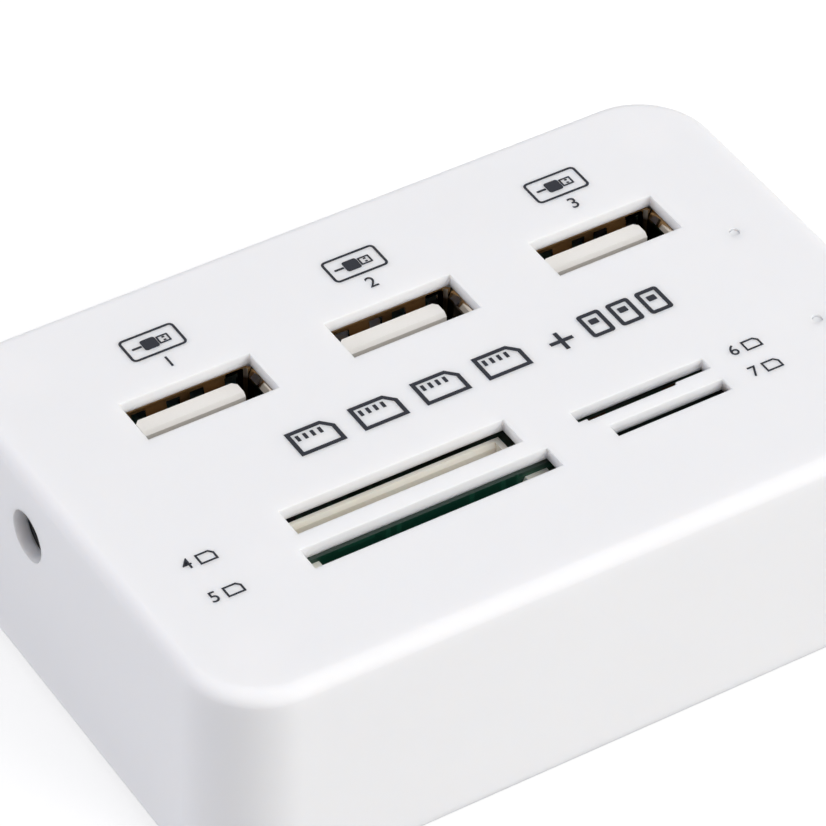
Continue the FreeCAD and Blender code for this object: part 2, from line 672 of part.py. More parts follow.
def board_capacitor(x):
    """A moulded block capacitor that lies across the board, with a tab at each end."""
    body = column(x, FRONT_ROW_Y, CAPACITOR_WIDTH, CAPACITOR_LENGTH,
                  BOARD_TOP_Z, BOARD_TOP_Z + CAPACITOR_HEIGHT)
    tabs = column(x, FRONT_ROW_Y, CAPACITOR_TAB_WIDTH, CAPACITOR_LENGTH + 2 * CAPACITOR_TAB_OUT,
                  BOARD_TOP_Z, BOARD_TOP_Z + CAPACITOR_TAB_HEIGHT)
    return join(body, [tabs])


def board_resistor(x):
    """One small flat resistor."""
    return column(x, FRONT_ROW_Y, RESISTOR_LENGTH, RESISTOR_WIDTH, BOARD_TOP_Z, BOARD_TOP_Z + RESISTOR_HEIGHT)


# Indicators

def lamp(x, y):
    """The small lamp chip on the board, with its raised lens."""
    top = BOARD_TOP_Z + LAMP_HEIGHT
    body = column(x, y, LAMP_LENGTH, LAMP_WIDTH, BOARD_TOP_Z, top)
    return join(body, [column(x, y, LAMP_LENS_LENGTH, LAMP_WIDTH, BOARD_TOP_Z, top + LAMP_LENS_HEIGHT)])


def light_pipe(x, y):
    """The clear rod that carries the lamp's light up to the hole in the top face."""
    low = BOARD_TOP_Z + LAMP_HEIGHT + LAMP_LENS_HEIGHT + LAMP_AIR
    stem = column(x, y, PIPE_SIZE, PIPE_SIZE, low, UNDER_Z)
    return join(stem, [rod(LAMP_HOLE_RADIUS - PIPE_CLEAR, x, y, low, TOP_Z - PIPE_RECESS)])


# Power jack

def along_jack(radius, x0, x1):
    """A round rod on the jack's axis."""
    return Part.makeCylinder(radius, x1 - x0, Vector(x0, JACK_Y, JACK_AXIS_Z), Vector(1, 0, 0))


def power_jack_body():
    """The black jack housing with its plug bore and the slot for its spring."""
    top = JACK_AXIS_Z + JACK_BORE_RADIUS + JACK_ROOF
    body = block(JACK_FACE_X, JACK_BACK_X, JACK_Y - JACK_WIDTH / 2, JACK_Y + JACK_WIDTH / 2, BOARD_TOP_Z, top)
    half = JACK_LEG_WIDTH / 2 + PIN_CLEAR
    slot = block(JACK_SPRING_X - JACK_SPRING_LENGTH - PIN_CLEAR, JACK_SPRING_X + JACK_LEG_THICK + PIN_CLEAR,
                 JACK_Y - half, JACK_Y + half, BOARD_TOP_Z, JACK_AXIS_Z)
    bore = along_jack(JACK_BORE_RADIUS, JACK_FACE_X, JACK_FACE_X + JACK_BORE_DEPTH)
    return body.cut([slot, bore, along_jack(JACK_PIN_RADIUS + JACK_PIN_CLEAR, JACK_FACE_X, JACK_BACK_X)])


def power_jack_pin():
    """The centre pin, riveted to the leg behind the housing."""
    pin = along_jack(JACK_PIN_RADIUS, JACK_FACE_X + JACK_PIN_RECESS, JACK_BACK_X + JACK_LEG_THICK)
    half = JACK_LEG_WIDTH / 2
    leg = block(JACK_BACK_X, JACK_BACK_X + JACK_LEG_THICK, JACK_Y - half, JACK_Y + half,
                PIN_END_Z, JACK_AXIS_Z + half)
    return join(pin, [leg])


def power_jack_spring():
    """The side contact: a leg through the board with a leaf that presses on the plug."""
    y = JACK_Y - JACK_LEG_WIDTH / 2
    x1 = JACK_SPRING_X + JACK_LEG_THICK
    tip = JACK_SPRING_X - JACK_SPRING_LENGTH
    points = [(x1, y, PIN_END_Z), (x1, y, JACK_SPRING_Z), (tip, y, JACK_SPRING_Z + JACK_SPRING_RISE),
              (tip, y, JACK_SPRING_Z + JACK_SPRING_RISE - JACK_LEG_THICK),
              (JACK_SPRING_X, y, JACK_SPRING_Z - JACK_LEG_THICK), (JACK_SPRING_X, y, PIN_END_Z)]
    return prism(points, (0, JACK_LEG_WIDTH, 0))


# Data inlet

def inlet_prism(inset, y0, y1):
    """The inlet's tapered section, shrunk by an inset and pushed along Y."""
    top = INLET_WIDTH / 2 - inset
    foot = INLET_WIDTH / 2 - INLET_TAPER - inset
    low = BOARD_TOP_Z + inset
    shoulder = BOARD_TOP_Z + INLET_SHOULDER
    high = BOARD_TOP_Z + INLET_HEIGHT - inset
    outline = [(foot, low), (top, shoulder), (top, high), (-top, high), (-top, shoulder), (-foot, low)]
    return prism([(INLET_X + x, y0, z) for x, z in outline], (0, y1 - y0, 0))


def data_inlet_shell():
    """The folded steel shell of the data inlet, lying on the board."""
    return inlet_prism(0, INLET_END_Y, INLET_MOUTH_Y).cut(inlet_prism(SHEET, INLET_END_Y, INLET_MOUTH_Y))


def data_inlet_insulator():
    """The black block at the inlet's back end, with its contact tongue."""
    plug = inlet_prism(SHEET + BASE_CLEAR, INLET_END_Y, INLET_END_Y + INLET_BLOCK)
    half = INLET_TONGUE_WIDTH / 2
    tongue = block(INLET_X - half, INLET_X + half, INLET_END_Y, INLET_MOUTH_Y - INLET_TONGUE_RECESS,
                   INLET_TONGUE_Z, INLET_TONGUE_Z + INLET_TONGUE_THICK)
    return join(plug, [tongue])


def data_inlet_contacts():
    """Five flat contacts under the inlet's tongue."""
    half = INLET_CONTACT / 2
    y0 = INLET_END_Y + INLET_BLOCK
    y1 = INLET_MOUTH_Y - INLET_TONGUE_RECESS
    z = INLET_TONGUE_Z - INLET_CONTACT_THICK
    places = row(INLET_X, INLET_PITCH, INLET_COUNT)
    return [block(x - half, x + half, y0, y1, z, INLET_TONGUE_Z) for x in places]


# Card board and its sockets

def card_board():
    """The upright board, drilled for the header's pins."""
    board = block(CARD_X0, CARD_X1, CARD_FACE_Y, CARD_BACK_Y, CARD_LOW_Z, CARD_TOP_Z)
    half = HEADER_PIN / 2 + PIN_CLEAR
    holes = [block(x - half, x + half, CARD_FACE_Y, CARD_BACK_Y, HEADER_Z - half, HEADER_Z + half)
             for x in row(HEADER_X, HEADER_PITCH, HEADER_COUNT)]
    return board.cut(holes)


def board_header():
    """The black strip that carries the header's pins on the card board's back."""
    length = HEADER_PITCH * HEADER_COUNT
    y1 = CARD_BACK_Y + HEADER_SIZE
    strip = block(HEADER_X - length / 2, HEADER_X + length / 2, CARD_BACK_Y, y1,
                  HEADER_Z - HEADER_SIZE / 2, HEADER_Z + HEADER_SIZE / 2)
    half = HEADER_PIN / 2 + HEADER_CLEAR
    return strip.cut([block(x - half, x + half, CARD_BACK_Y, y1, HEADER_Z - half, HEADER_Z + half)
                      for x in row(HEADER_X, HEADER_PITCH, HEADER_COUNT)])


def header_pin(x):
    """One bent pin, through the card board and up through the main board."""
    half = HEADER_PIN / 2
    y0 = CARD_FACE_Y - PIN_DROP
    y1 = BOARD_FRONT_Y + HEADER_BEND
    top = BOARD_TOP_Z + PIN_DROP
    low = HEADER_Z - half
    high = HEADER_Z + half
    outline = [(y0, low), (y1 + half, low), (y1 + half, top), (y1 - half, top), (y1 - half, high), (y0, high)]
    points = [(x - half, y, z) for y, z in outline]
    return prism(points, (HEADER_PIN, 0, 0))


def card_springs(face, side, x0, x1, count, width, floor):
    """Contact springs spread along one socket, fixed to its back face and bent towards the card."""
    points = [(face, floor + SLOT_EASE), (face, floor + SPRING_FOOT),
              (face + side * SPRING_LIFT, floor + SPRING_KNEE),
              (face + side * SPRING_TIP, floor + SPRING_LENGTH)]
    places = row((x0 + x1) / 2, (x1 - x0) / count, count)
    return [leaf(points, side * SPRING_THICK, x - width / 2, x + width / 2) for x in places]


def card_frame(face, far, x0, x1, rail, floor):
    """The moulded U of one socket: a bar under the card and a rail at each side of it."""
    top = UNDER_Z - SOCKET_TOP_CLEAR
    low = floor - BAR_HEIGHT
    body = block(x0 - rail, x1 + rail, face, far, low, top)
    return body.cut(block(x0, x1, face, far, floor, top))


def card_sheet(face, far, side, x0, x1, rail, sheet, floor, notch):
    """The folded steel lid of one socket, with a finger notch in its mouth where there is one."""
    top = UNDER_Z - SOCKET_TOP_CLEAR - COVER_DROP
    low = floor - BAR_HEIGHT
    left = x0 - rail
    right = x1 + rail
    lid = block(left - sheet, right + sheet, face, far + side * sheet, low, top)
    lid = lid.cut(block(left, right, face, far, low, top))
    middle = (x0 + x1) / 2
    return lid.cut(block(middle - notch / 2, middle + notch / 2, far, far + side * sheet,
                         top - NOTCH_DEPTH, top))


def full_slot_frame():
    """The cream frame of the full-size socket: a low right end, and ledges under the card's thin edges."""
    top = UNDER_Z - SOCKET_TOP_CLEAR
    ledges = []
    for edge, inner, cut, drop in ((FULL_X0, FULL_X0 + LEDGE_LEFT, -LEDGE_CUT, LEDGE_LEFT_DROP),
                                   (FULL_X1, FULL_X1 - LEDGE_RIGHT, LEDGE_CUT, LEDGE_RIGHT_DROP)):
        high = top - drop
        outline = [(edge, FULL_FLOOR_Z), (inner, FULL_FLOOR_Z), (inner, high - LEDGE_CUT_DEPTH),
                   (inner + cut, high), (edge, high)]
        ledges.append(prism([(x, CARD_FACE_Y, z) for x, z in outline], (0, -LEDGE_THICK, 0)))
    frame = card_frame(CARD_FACE_Y, FULL_FAR_Y, FULL_X0, FULL_X1, FULL_RAIL, FULL_FLOOR_Z)
    low_end = block(FULL_X1, FULL_X1 + FULL_RAIL, CARD_FACE_Y, FULL_FAR_Y, top - FULL_END_DROP, top)
    return join(frame.cut(low_end), ledges)


def stick_slot_housing():
    """The cream trough of the stick socket, with a lead-in along its back wall."""
    top = UNDER_Z - STICK_TOP_CLEAR
    body = block(STICK_X0 - STICK_WALL, STICK_X1 + STICK_WALL, CARD_BACK_Y, STICK_BACK_Y + STICK_WALL,
                 STICK_FLOOR_Z - STICK_FLOOR, top)
    cavity = block(STICK_X0, STICK_X1, STICK_FRONT_Y, STICK_BACK_Y, STICK_FLOOR_Z, top)
    slope = [(STICK_X0, STICK_BACK_Y, top - STICK_LEAD_RISE),
             (STICK_X0, STICK_BACK_Y + STICK_LEAD_OUT, top), (STICK_X0, STICK_BACK_Y, top)]
    lead = prism(slope, (STICK_X1 - STICK_X0, 0, 0))
    return body.cut([cavity, lead])


def export(name, *solids):
    """Writes one node's file: a single solid, or a group of like ones."""
    shape = solids[0] if len(solids) == 1 else Part.makeCompound(solids)
    shape.exportStep(os.path.join("parts", name + ".step"))


os.makedirs("parts", exist_ok=True)

export("top_cover", top_cover())
export("bottom_cover", bottom_cover())
for number, (x, y) in enumerate(foot_places(), 1):
    export("rubber_foot_%d" % number, rubber_foot(x, y))
export("case_screws", *[case_screw(x, y) for x, y in screw_places()])

export("main_board", main_board())
export("hub_chip", chip(HUB_CHIP_X, BACK_ROW_Y, HUB_CHIP_LENGTH, HUB_CHIP_WIDTH))
export("hub_chip_leads", *chip_leads(HUB_CHIP_X, BACK_ROW_Y, HUB_CHIP_LENGTH / 2, HUB_CHIP_WIDTH / 2,
                                     CHIP_PITCH, HUB_LEAD_COUNT, (90, 270)))
export("reader_chip", chip(READER_CHIP_X, BACK_ROW_Y, READER_CHIP_SIZE, READER_CHIP_SIZE))
export("reader_chip_leads", *chip_leads(READER_CHIP_X, BACK_ROW_Y, READER_CHIP_SIZE / 2, READER_CHIP_SIZE / 2,
                                        FINE_PITCH, READER_LEAD_COUNT, (0, 90, 180, 270)))
export("clock_crystal", clock_crystal())
export("board_capacitors", *[board_capacitor(x) for x in CAPACITOR_PLACES])
export("board_resistors", *[board_resistor(x) for x in RESISTOR_X])
for number, (x, y) in enumerate(LAMP_PLACES, 1):
    export("lamp_%d" % number, lamp(x, y))
    export("light_pipe_%d" % number, light_pipe(x, y))

for number, x in enumerate(PORT_PLACES, 1):
    export("port_shell_%d" % number, port_shell(x))
    export("port_insulator_%d" % number, port_insulator(x))
    export("port_contacts_%d" % number, *port_contacts(x))

export("power_jack_body", power_jack_body())
export("power_jack_pin", power_jack_pin())
export("power_jack_spring", power_jack_spring())
export("data_inlet_shell", data_inlet_shell())
export("data_inlet_insulator", data_inlet_insulator())
export("data_inlet_contacts", *data_inlet_contacts())

export("card_board", card_board())
export("board_header", board_header())
export("header_pins", *[header_pin(x) for x in row(HEADER_X, HEADER_PITCH, HEADER_COUNT)])

export("full_slot_frame", full_slot_frame())
export("full_slot_cover", card_sheet(CARD_FACE_Y, FULL_FAR_Y, -1, FULL_X0, FULL_X1, FULL_RAIL,
                                     FULL_SHEET, FULL_FLOOR_Z, 2 * NOTCH_LENGTH))
export("full_slot_contacts", *card_springs(CARD_FACE_Y, -1, FULL_X0 + LEDGE_LEFT, FULL_X1 - LEDGE_RIGHT,
                                           FULL_COUNT, FULL_SPRING, FULL_FLOOR_Z))

export("micro_slot_frame", card_frame(CARD_FACE_Y, MICRO_FAR_Y, MICRO_X0, MICRO_X1, SMALL_RAIL,
                                      SMALL_FLOOR_Z))
export("micro_slot_cover", card_sheet(CARD_FACE_Y, MICRO_FAR_Y, -1, MICRO_X0, MICRO_X1, SMALL_RAIL,
                                      SMALL_SHEET, SMALL_FLOOR_Z, NOTCH_LENGTH))
export("micro_slot_contacts", *card_springs(CARD_FACE_Y, -1, MICRO_X0, MICRO_X1, MICRO_COUNT,
                                            SMALL_SPRING, SMALL_FLOOR_Z))

export("small_stick_frame", card_frame(CARD_BACK_Y, SMALL_STICK_FAR_Y, SMALL_STICK_X0, SMALL_STICK_X1,
                                       SMALL_RAIL, SMALL_FLOOR_Z))
export("small_stick_cover", card_sheet(CARD_BACK_Y, SMALL_STICK_FAR_Y, 1, SMALL_STICK_X0, SMALL_STICK_X1,
                                       SMALL_RAIL, SMALL_SHEET, SMALL_FLOOR_Z, NOTCH_LENGTH))
export("small_stick_contacts", *card_springs(CARD_BACK_Y, 1, SMALL_STICK_X0, SMALL_STICK_X1,
                                             SMALL_STICK_COUNT, SMALL_SPRING, SMALL_FLOOR_Z))

export("stick_slot_housing", stick_slot_housing())
export("stick_slot_contacts", *card_springs(STICK_FRONT_Y, 1, STICK_X0, STICK_X1, STICK_COUNT,
                                            STICK_SPRING, STICK_FLOOR_Z))
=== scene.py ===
import math
import bmesh
import bpy
from mathutils import Matrix, Vector


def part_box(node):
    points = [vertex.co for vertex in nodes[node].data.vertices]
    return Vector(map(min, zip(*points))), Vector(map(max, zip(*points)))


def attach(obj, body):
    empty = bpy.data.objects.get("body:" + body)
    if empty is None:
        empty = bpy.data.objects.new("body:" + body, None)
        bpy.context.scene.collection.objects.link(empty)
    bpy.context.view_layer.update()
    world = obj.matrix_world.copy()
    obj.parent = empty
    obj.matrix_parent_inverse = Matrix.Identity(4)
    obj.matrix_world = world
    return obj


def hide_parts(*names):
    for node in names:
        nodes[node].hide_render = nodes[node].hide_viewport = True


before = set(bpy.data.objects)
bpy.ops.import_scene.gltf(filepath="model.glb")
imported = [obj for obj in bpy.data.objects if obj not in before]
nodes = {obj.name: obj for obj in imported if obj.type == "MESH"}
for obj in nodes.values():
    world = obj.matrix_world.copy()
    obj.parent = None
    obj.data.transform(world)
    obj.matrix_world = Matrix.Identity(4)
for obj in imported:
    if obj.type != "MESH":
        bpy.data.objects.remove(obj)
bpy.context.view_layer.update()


# Bottom cover: the plate that closes the box from below, moulded in the same white ABS as the lid.
# It sits inside the lid's rim and carries the screw posts, the board's pegs and the card board's cradles.
# Its sizes, and all others where no unit is given, are in millimetres, which MM turns into metres.
MM = 0.001
# A Mix node's numbers for its factor, its two colours and the mixed colour, whose names occur more than once.
FACTOR = 0
FIRST = 6
SECOND = 7
MIXED = 2


def linear(code):
    """An sRGB hex colour as the linear values that a shader takes."""
    channels = [int(code[place:place + 2], 16) / 255 for place in (1, 3, 5)]
    return [c / 12.92 if c <= 0.04045 else ((c + 0.055) / 1.055) ** 2.4 for c in channels] + [1.0]


def add(tree, kind, inputs, **settings):
    """Adds one node; inputs gives each socket, by name or number, a value or the sockets that feed it."""
    node = tree.nodes.new(kind)
    for name, value in settings.items():
        setattr(node, name, value)
    for name, value in inputs.items():
        feeds = value if isinstance(value, list) else [value]
        if isinstance(feeds[0], bpy.types.NodeSocket):
            for feed in feeds:
                tree.links.new(feed, node.inputs[name])
        else:
            node.inputs[name].default_value = value
    return node


def finish(name, colour, second, patch, roughness, swing, grain, relief, sockets):
    """A finish of two near colours in patches, with a grain that moves gloss and height."""
    material = bpy.data.materials.new(name)
    material.use_nodes = True
    tree = material.node_tree
    tree.nodes.clear()
    place = add(tree, "ShaderNodeTexCoord", {}).outputs["Object"]
    patches = add(tree, "ShaderNodeTexNoise", {"Vector": place, "Scale": 1 / (patch * MM), "Detail": 3.0})
    tint = add(tree, "ShaderNodeMix", {FACTOR: patches.outputs["Fac"], FIRST: linear(colour),
                                       SECOND: linear(second)}, data_type="RGBA")
    fine = add(tree, "ShaderNodeTexNoise", {"Vector": place, "Scale": 1 / (grain * MM), "Detail": 2.0})
    gloss = add(tree, "ShaderNodeMapRange", {"Value": fine.outputs["Fac"], "To Min": roughness - swing,
                                             "To Max": roughness + swing})
    bump = add(tree, "ShaderNodeBump", {"Height": fine.outputs["Fac"], "Distance": relief * MM,
                                        "Strength": 0.5})
    skin = {"Base Color": tint.outputs[MIXED], "Roughness": gloss.outputs["Result"],
            "Normal": bump.outputs["Normal"]}
    shader = add(tree, "ShaderNodeBsdfPrincipled", skin | sockets)
    add(tree, "ShaderNodeOutputMaterial", {"Surface": shader.outputs["BSDF"]})
    return material


def dress(material, *names):
    """Gives CAD nodes their finish."""
    for name in names:
        nodes[name].data.materials.clear()
        nodes[name].data.materials.append(material)


# White ABS from a spark-eroded mould: a satin skin whose grain of about 0.3 mm only softens the highlights.
# Light goes in and comes out again about a millimetre away, which keeps edges and the windows' walls soft.
white_abs = finish("white ABS, satin moulded", "#F0EFF1", "#EDECEE", patch=18.0, roughness=0.38, swing=0.04,
                   grain=0.3, relief=0.004,
                   sockets={"IOR": 1.53, "Specular IOR Level": 0.3, "Subsurface Weight": 1.0,
                            "Subsurface Scale": 1.5 * MM, "Subsurface Radius": (1.0, 0.94, 0.88)})
dress(white_abs, "bottom_cover")


# Rubber feet: four pads punched from dark rubber sheet and stuck in round recesses of the bottom cover.
# Their lower edge is rounded by the press, and the skin is dull and slightly pitted.
FOOT_RADIUS = 4.0
FOOT_ROUND = 0.5
FOOT_ROUND_STEPS = 6
TURNED_STEPS = 64
SHARP_ANGLE = math.radians(32)


def turned(profile):
    """A mesh turned about Z from (radius, height) points that start and end on the axis."""
    shape = bmesh.new()
    rings = []
    for radius, height in profile:
        angles = [math.tau * step / TURNED_STEPS for step in range(TURNED_STEPS)] if radius else [0.0]
        rings.append([shape.verts.new((radius * MM * math.cos(a), radius * MM * math.sin(a), height * MM))
                      for a in angles])
    for below, above in zip(rings, rings[1:]):
        for step in range(TURNED_STEPS):
            near = [below[step % len(below)], below[(step + 1) % len(below)],
                    above[(step + 1) % len(above)], above[step % len(above)]]
            shape.faces.new(list(dict.fromkeys(near)))
    bmesh.ops.recalc_face_normals(shape, faces=shape.faces)
    mesh = bpy.data.meshes.new("turned")
    shape.to_mesh(mesh)
    shape.free()
    return mesh


def rounded(radius, height, size, steps):
    """Points of a quarter round, from the lower face out to the side of a turned piece."""
    angles = [math.pi / 2 * step / steps for step in range(steps + 1)]
    return [(radius - size + size * math.sin(a), height + size - size * math.cos(a)) for a in angles]


def grown(name, mesh, tree, sockets, values):
    """Runs a node tree on a mesh and keeps a plain mesh; values go to the sockets after the first."""
    piece = bpy.data.objects.new(name, mesh)
    bpy.context.collection.objects.link(piece)
    nodes_step = piece.modifiers.new(tree.name, "NODES")
    nodes_step.node_group = tree
    for socket, value in zip(sockets[1:], values):
        nodes_step[socket.identifier] = value
    steps = bpy.context.evaluated_depsgraph_get()
    made = bpy.data.meshes.new_from_object(piece.evaluated_get(steps), depsgraph=steps)
    piece.modifiers.clear()
    piece.data = made
    made.shade_smooth()
    made.set_sharp_from_angle(angle=SHARP_ANGLE)
    return piece


def corner_set(name, mesh, material, sizes):
    """Sets a turned piece out at four corners; sizes name the tree's inputs, a cross recess among them."""
    tree = bpy.data.node_groups.new(name, "GeometryNodeTree")
    kinds = [("Piece", "NodeSocketGeometry")] + [(label, "NodeSocketFloat") for label in sizes]
    sockets = [tree.interface.new_socket(label, in_out="INPUT", socket_type=kind)
               for label, kind in kinds + [("Finish", "NodeSocketMaterial")]]
    tree.interface.new_socket("Set", in_out="OUTPUT", socket_type="NodeSocketGeometry")
    given = add(tree, "NodeGroupInput", {}).outputs
    piece = given["Piece"]
    if "Recess Length" in sizes:
        level = add(tree, "ShaderNodeCombineXYZ", {"Z": given["Face Height"]})
        for along, over, high in (("Recess Length", "Recess Width", "Bar Height"),
                                  ("Recess Width", "Recess Length", "Cross Bar Height")):
            size = add(tree, "ShaderNodeCombineXYZ", {"X": given[along], "Y": given[over], "Z": given[high]})
            bar = add(tree, "GeometryNodeMeshCube", {"Size": size.outputs["Vector"]})
            cutter = add(tree, "GeometryNodeTransform", {"Geometry": bar.outputs["Mesh"],
                                                         "Translation": level.outputs["Vector"]})
            cut = add(tree, "GeometryNodeMeshBoolean", {"Mesh 1": piece,
                                                        "Mesh 2": cutter.outputs["Geometry"]},
                      operation="DIFFERENCE")
            piece = cut.outputs["Mesh"]
    corners = add(tree, "GeometryNodeMeshGrid", {"Size X": given["Span X"], "Size Y": given["Span Y"],
                                                 "Vertices X": 2, "Vertices Y": 2})
    four = add(tree, "GeometryNodeInstanceOnPoints", {"Points": corners.outputs["Mesh"], "Instance": piece})
    real = add(tree, "GeometryNodeRealizeInstances", {"Geometry": four.outputs["Instances"]})
    dressed = add(tree, "GeometryNodeSetMaterial", {"Geometry": real.outputs["Geometry"],
                                                    "Material": given["Finish"]})
    add(tree, "NodeGroupOutput", {"Set": dressed.outputs["Geometry"]})
    return grown(name, mesh, tree, sockets, list(sizes.values()) + [material])


foot_names = ["rubber_foot_%d" % number for number in (1, 2, 3, 4)]
foot_low, foot_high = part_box("rubber_foot_1")
foot_edges = [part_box(name) for name in foot_names]
foot_span = [max(high[axis] for _, high in foot_edges) - min(low[axis] for low, _ in foot_edges)
             - 2 * FOOT_RADIUS * MM for axis in (0, 1)]
# Punched sheet rubber: dull and dark, with shallow pits of about 0.25 mm.
foot_rubber = finish("dark sheet rubber, punched", "#3B3B3D", "#323234", patch=2.0, roughness=0.82,
                     swing=0.08, grain=0.25, relief=0.03, sockets={"IOR": 1.52})
foot_profile = ([(0, foot_low[2] / MM)] + rounded(FOOT_RADIUS, foot_low[2] / MM, FOOT_ROUND, FOOT_ROUND_STEPS)
                + [(FOOT_RADIUS, foot_high[2] / MM), (0, foot_high[2] / MM)])
feet = corner_set("feet", turned(foot_profile), foot_rubber, {"Span X": foot_span[0], "Span Y": foot_span[1]})
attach(feet, "root")
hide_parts(*foot_names)


# Case screws: four small pan-head screws of zinc-plated steel that hold both covers together.
# They sit deep in the bottom cover's posts, and are headed cold, so the head is domed at its rim.
HEAD_RADIUS = 2.2
HEAD_HEIGHT = 1.8
HEAD_ROUND = 0.9
HEAD_ROUND_STEPS = 8
SHANK_RADIUS = 1.25
TIP_TAPER = 0.5
# Two crossed bars, centred on the head's face, cut the recess, so half of a bar's height goes into the head.
# One is a little higher than the other, so that the two cuts have no face in common.
RECESS_LENGTH = 2.5
RECESS_WIDTH = 0.6
BAR_HEIGHT = 2.0
CROSS_BAR_HEIGHT = 2.1
screw_low, screw_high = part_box("case_screws")
face = screw_low[2] / MM
tip = screw_high[2] / MM
screw_profile = ([(0, face)] + rounded(HEAD_RADIUS, face, HEAD_ROUND, HEAD_ROUND_STEPS)
                 + [(HEAD_RADIUS, face + HEAD_HEIGHT), (SHANK_RADIUS, face + HEAD_HEIGHT),
                    (SHANK_RADIUS, tip - TIP_TAPER), (SHANK_RADIUS - TIP_TAPER, tip), (0, tip)])
# Zinc plating: bright and bluish, with faint marks of 0.15 mm from the tumbling barrel.
screw_steel = finish("zinc-plated steel, tumbled", "#C9CBCD", "#B9BCBF", patch=0.8, roughness=0.3, swing=0.08,
                     grain=0.15, relief=0.006, sockets={"Metallic": 1.0})
screws = corner_set("screws", turned(screw_profile), screw_steel, {
    "Span X": screw_high[0] - screw_low[0] - 2 * HEAD_RADIUS * MM,
    "Span Y": screw_high[1] - screw_low[1] - 2 * HEAD_RADIUS * MM,
    "Face Height": screw_low[2], "Recess Length": RECESS_LENGTH * MM, "Recess Width": RECESS_WIDTH * MM,
    "Bar Height": BAR_HEIGHT * MM, "Cross Bar Height": CROSS_BAR_HEIGHT * MM})
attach(screws, "root")
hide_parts("case_screws")


# Circuit boards: the flat main board and the upright card board, of glass epoxy under green solder mask.
# Copper tracks show through the mask as slightly raised paler lines, and the sawn edges show the bare glass.
# Beyond a place along X the mask's colour is darker, nearly black.
MASK_GREEN = "#0F3A2C"
TRACK_GREEN = "#1B4D3B"
FAR_DARK_GREEN = "#0D1512"
BARE_GLASS = "#44544F"
TRACK_PITCH = 0.8
TRACK_WIDTH = 0.3
TRACK_RELIEF = 0.03
CELL_TRACKS = 8
FLAT_DARK_FROM_X = 30.0
UPRIGHT_DARK_FROM_X = 5.0


def board_finish(name, thin_axis, dark_from_x):
    """Solder mask over tracks, with bare edges round the thin axis."""
    material = bpy.data.materials.new(name)
    material.use_nodes = True
    tree = material.node_tree
    tree.nodes.clear()
    place = add(tree, "ShaderNodeTexCoord", {})
    cells = add(tree, "ShaderNodeTexVoronoi", {"Vector": place.outputs["Object"],
                                               "Scale": 1 / (CELL_TRACKS * TRACK_PITCH * MM),
                                               "Randomness": 1.0}, distance="CHEBYCHEV")
    lines = add(tree, "ShaderNodeMath", {0: cells.outputs["Distance"], 1: 1 / CELL_TRACKS},
                operation="PINGPONG")
    line = TRACK_WIDTH / TRACK_PITCH / CELL_TRACKS
    edge = add(tree, "ShaderNodeMapRange", {"Value": lines.outputs["Value"], "From Min": line,
                                            "From Max": line / 2})
    tint = add(tree, "ShaderNodeMix", {FACTOR: edge.outputs["Result"], FIRST: linear(MASK_GREEN),
                                       SECOND: linear(TRACK_GREEN)}, data_type="RGBA")
    facing = add(tree, "ShaderNodeSeparateXYZ", {"Vector": place.outputs["Normal"]})
    flat = add(tree, "ShaderNodeMath", {0: facing.outputs[thin_axis]}, operation="ABSOLUTE")
    along = add(tree, "ShaderNodeSeparateXYZ", {"Vector": place.outputs["Object"]})
    # Past this place along X the colour turns nearly black.
    fill = add(tree, "ShaderNodeMath", {0: along.outputs["X"], 1: dark_from_x * MM}, operation="GREATER_THAN")
    dark = add(tree, "ShaderNodeMix", {FACTOR: fill.outputs["Value"], FIRST: tint.outputs[MIXED],
                                       SECOND: linear(FAR_DARK_GREEN)}, data_type="RGBA")
    both = add(tree, "ShaderNodeMix", {FACTOR: flat.outputs["Value"], FIRST: linear(BARE_GLASS),
                                       SECOND: dark.outputs[MIXED]}, data_type="RGBA")
    bump = add(tree, "ShaderNodeBump", {"Height": edge.outputs["Result"], "Distance": TRACK_RELIEF * MM,
                                        "Strength": 0.6})
    shader = add(tree, "ShaderNodeBsdfPrincipled", {
        "Base Color": both.outputs[MIXED], "Roughness": 0.32, "IOR": 1.5, "Normal": bump.outputs["Normal"]})
    add(tree, "ShaderNodeOutputMaterial", {"Surface": shader.outputs["BSDF"]})
    return material


# Solder mask on glass epoxy: glossy dark green where it covers, dull grey-green where the saw went through.
flat_board = board_finish("green solder mask, flat board", "Z", FLAT_DARK_FROM_X)
dress(flat_board, "main_board")
upright_board = board_finish("green solder mask, upright board", "Y", UPRIGHT_DARK_FROM_X)
dress(upright_board, "card_board")


# Parts on the main board: moulded black chips on tinned leads, a crystal with a plated lid, capacitors and
# resistors. All are soldered to pads; the pin header joins the upright card board to the flat one.
# Transfer-moulded epoxy is dull with a fine speckle of its filler.
chip_epoxy = finish("black epoxy, transfer moulded", "#232325", "#2B2B2D", patch=1.2, roughness=0.62,
                    swing=0.06, grain=0.12, relief=0.01, sockets={})
dress(chip_epoxy, "hub_chip", "reader_chip", "board_resistors", "board_capacitors", "board_header")
# Matt tin: pale and soft, clouded by its grains.
lead_tin = finish("matt tin plating", "#C6C7C5", "#B4B5B3", patch=0.6, roughness=0.34, swing=0.08, grain=0.1,
                  relief=0.004, sockets={"Metallic": 1.0})
dress(lead_tin, "hub_chip_leads", "reader_chip_leads", "header_pins")
# Nickel-plated lid: smooth, with faint rolling clouds.
can_metal = finish("nickel-plated crystal lid", "#C3C5C8", "#AEB1B5", patch=2.0, roughness=0.28, swing=0.07,
                   grain=0.2, relief=0.006, sockets={"Metallic": 1.0})
dress(can_metal, "clock_crystal")
# Lamp resin: cast, slightly yellow, smooth.
lamp_resin = finish("pale lamp resin, cast", "#EDEBDD", "#E2E0D0", patch=0.8, roughness=0.4, swing=0.05,
                    grain=0.2, relief=0.004, sockets={})
dress(lamp_resin, "lamp_1", "lamp_2")


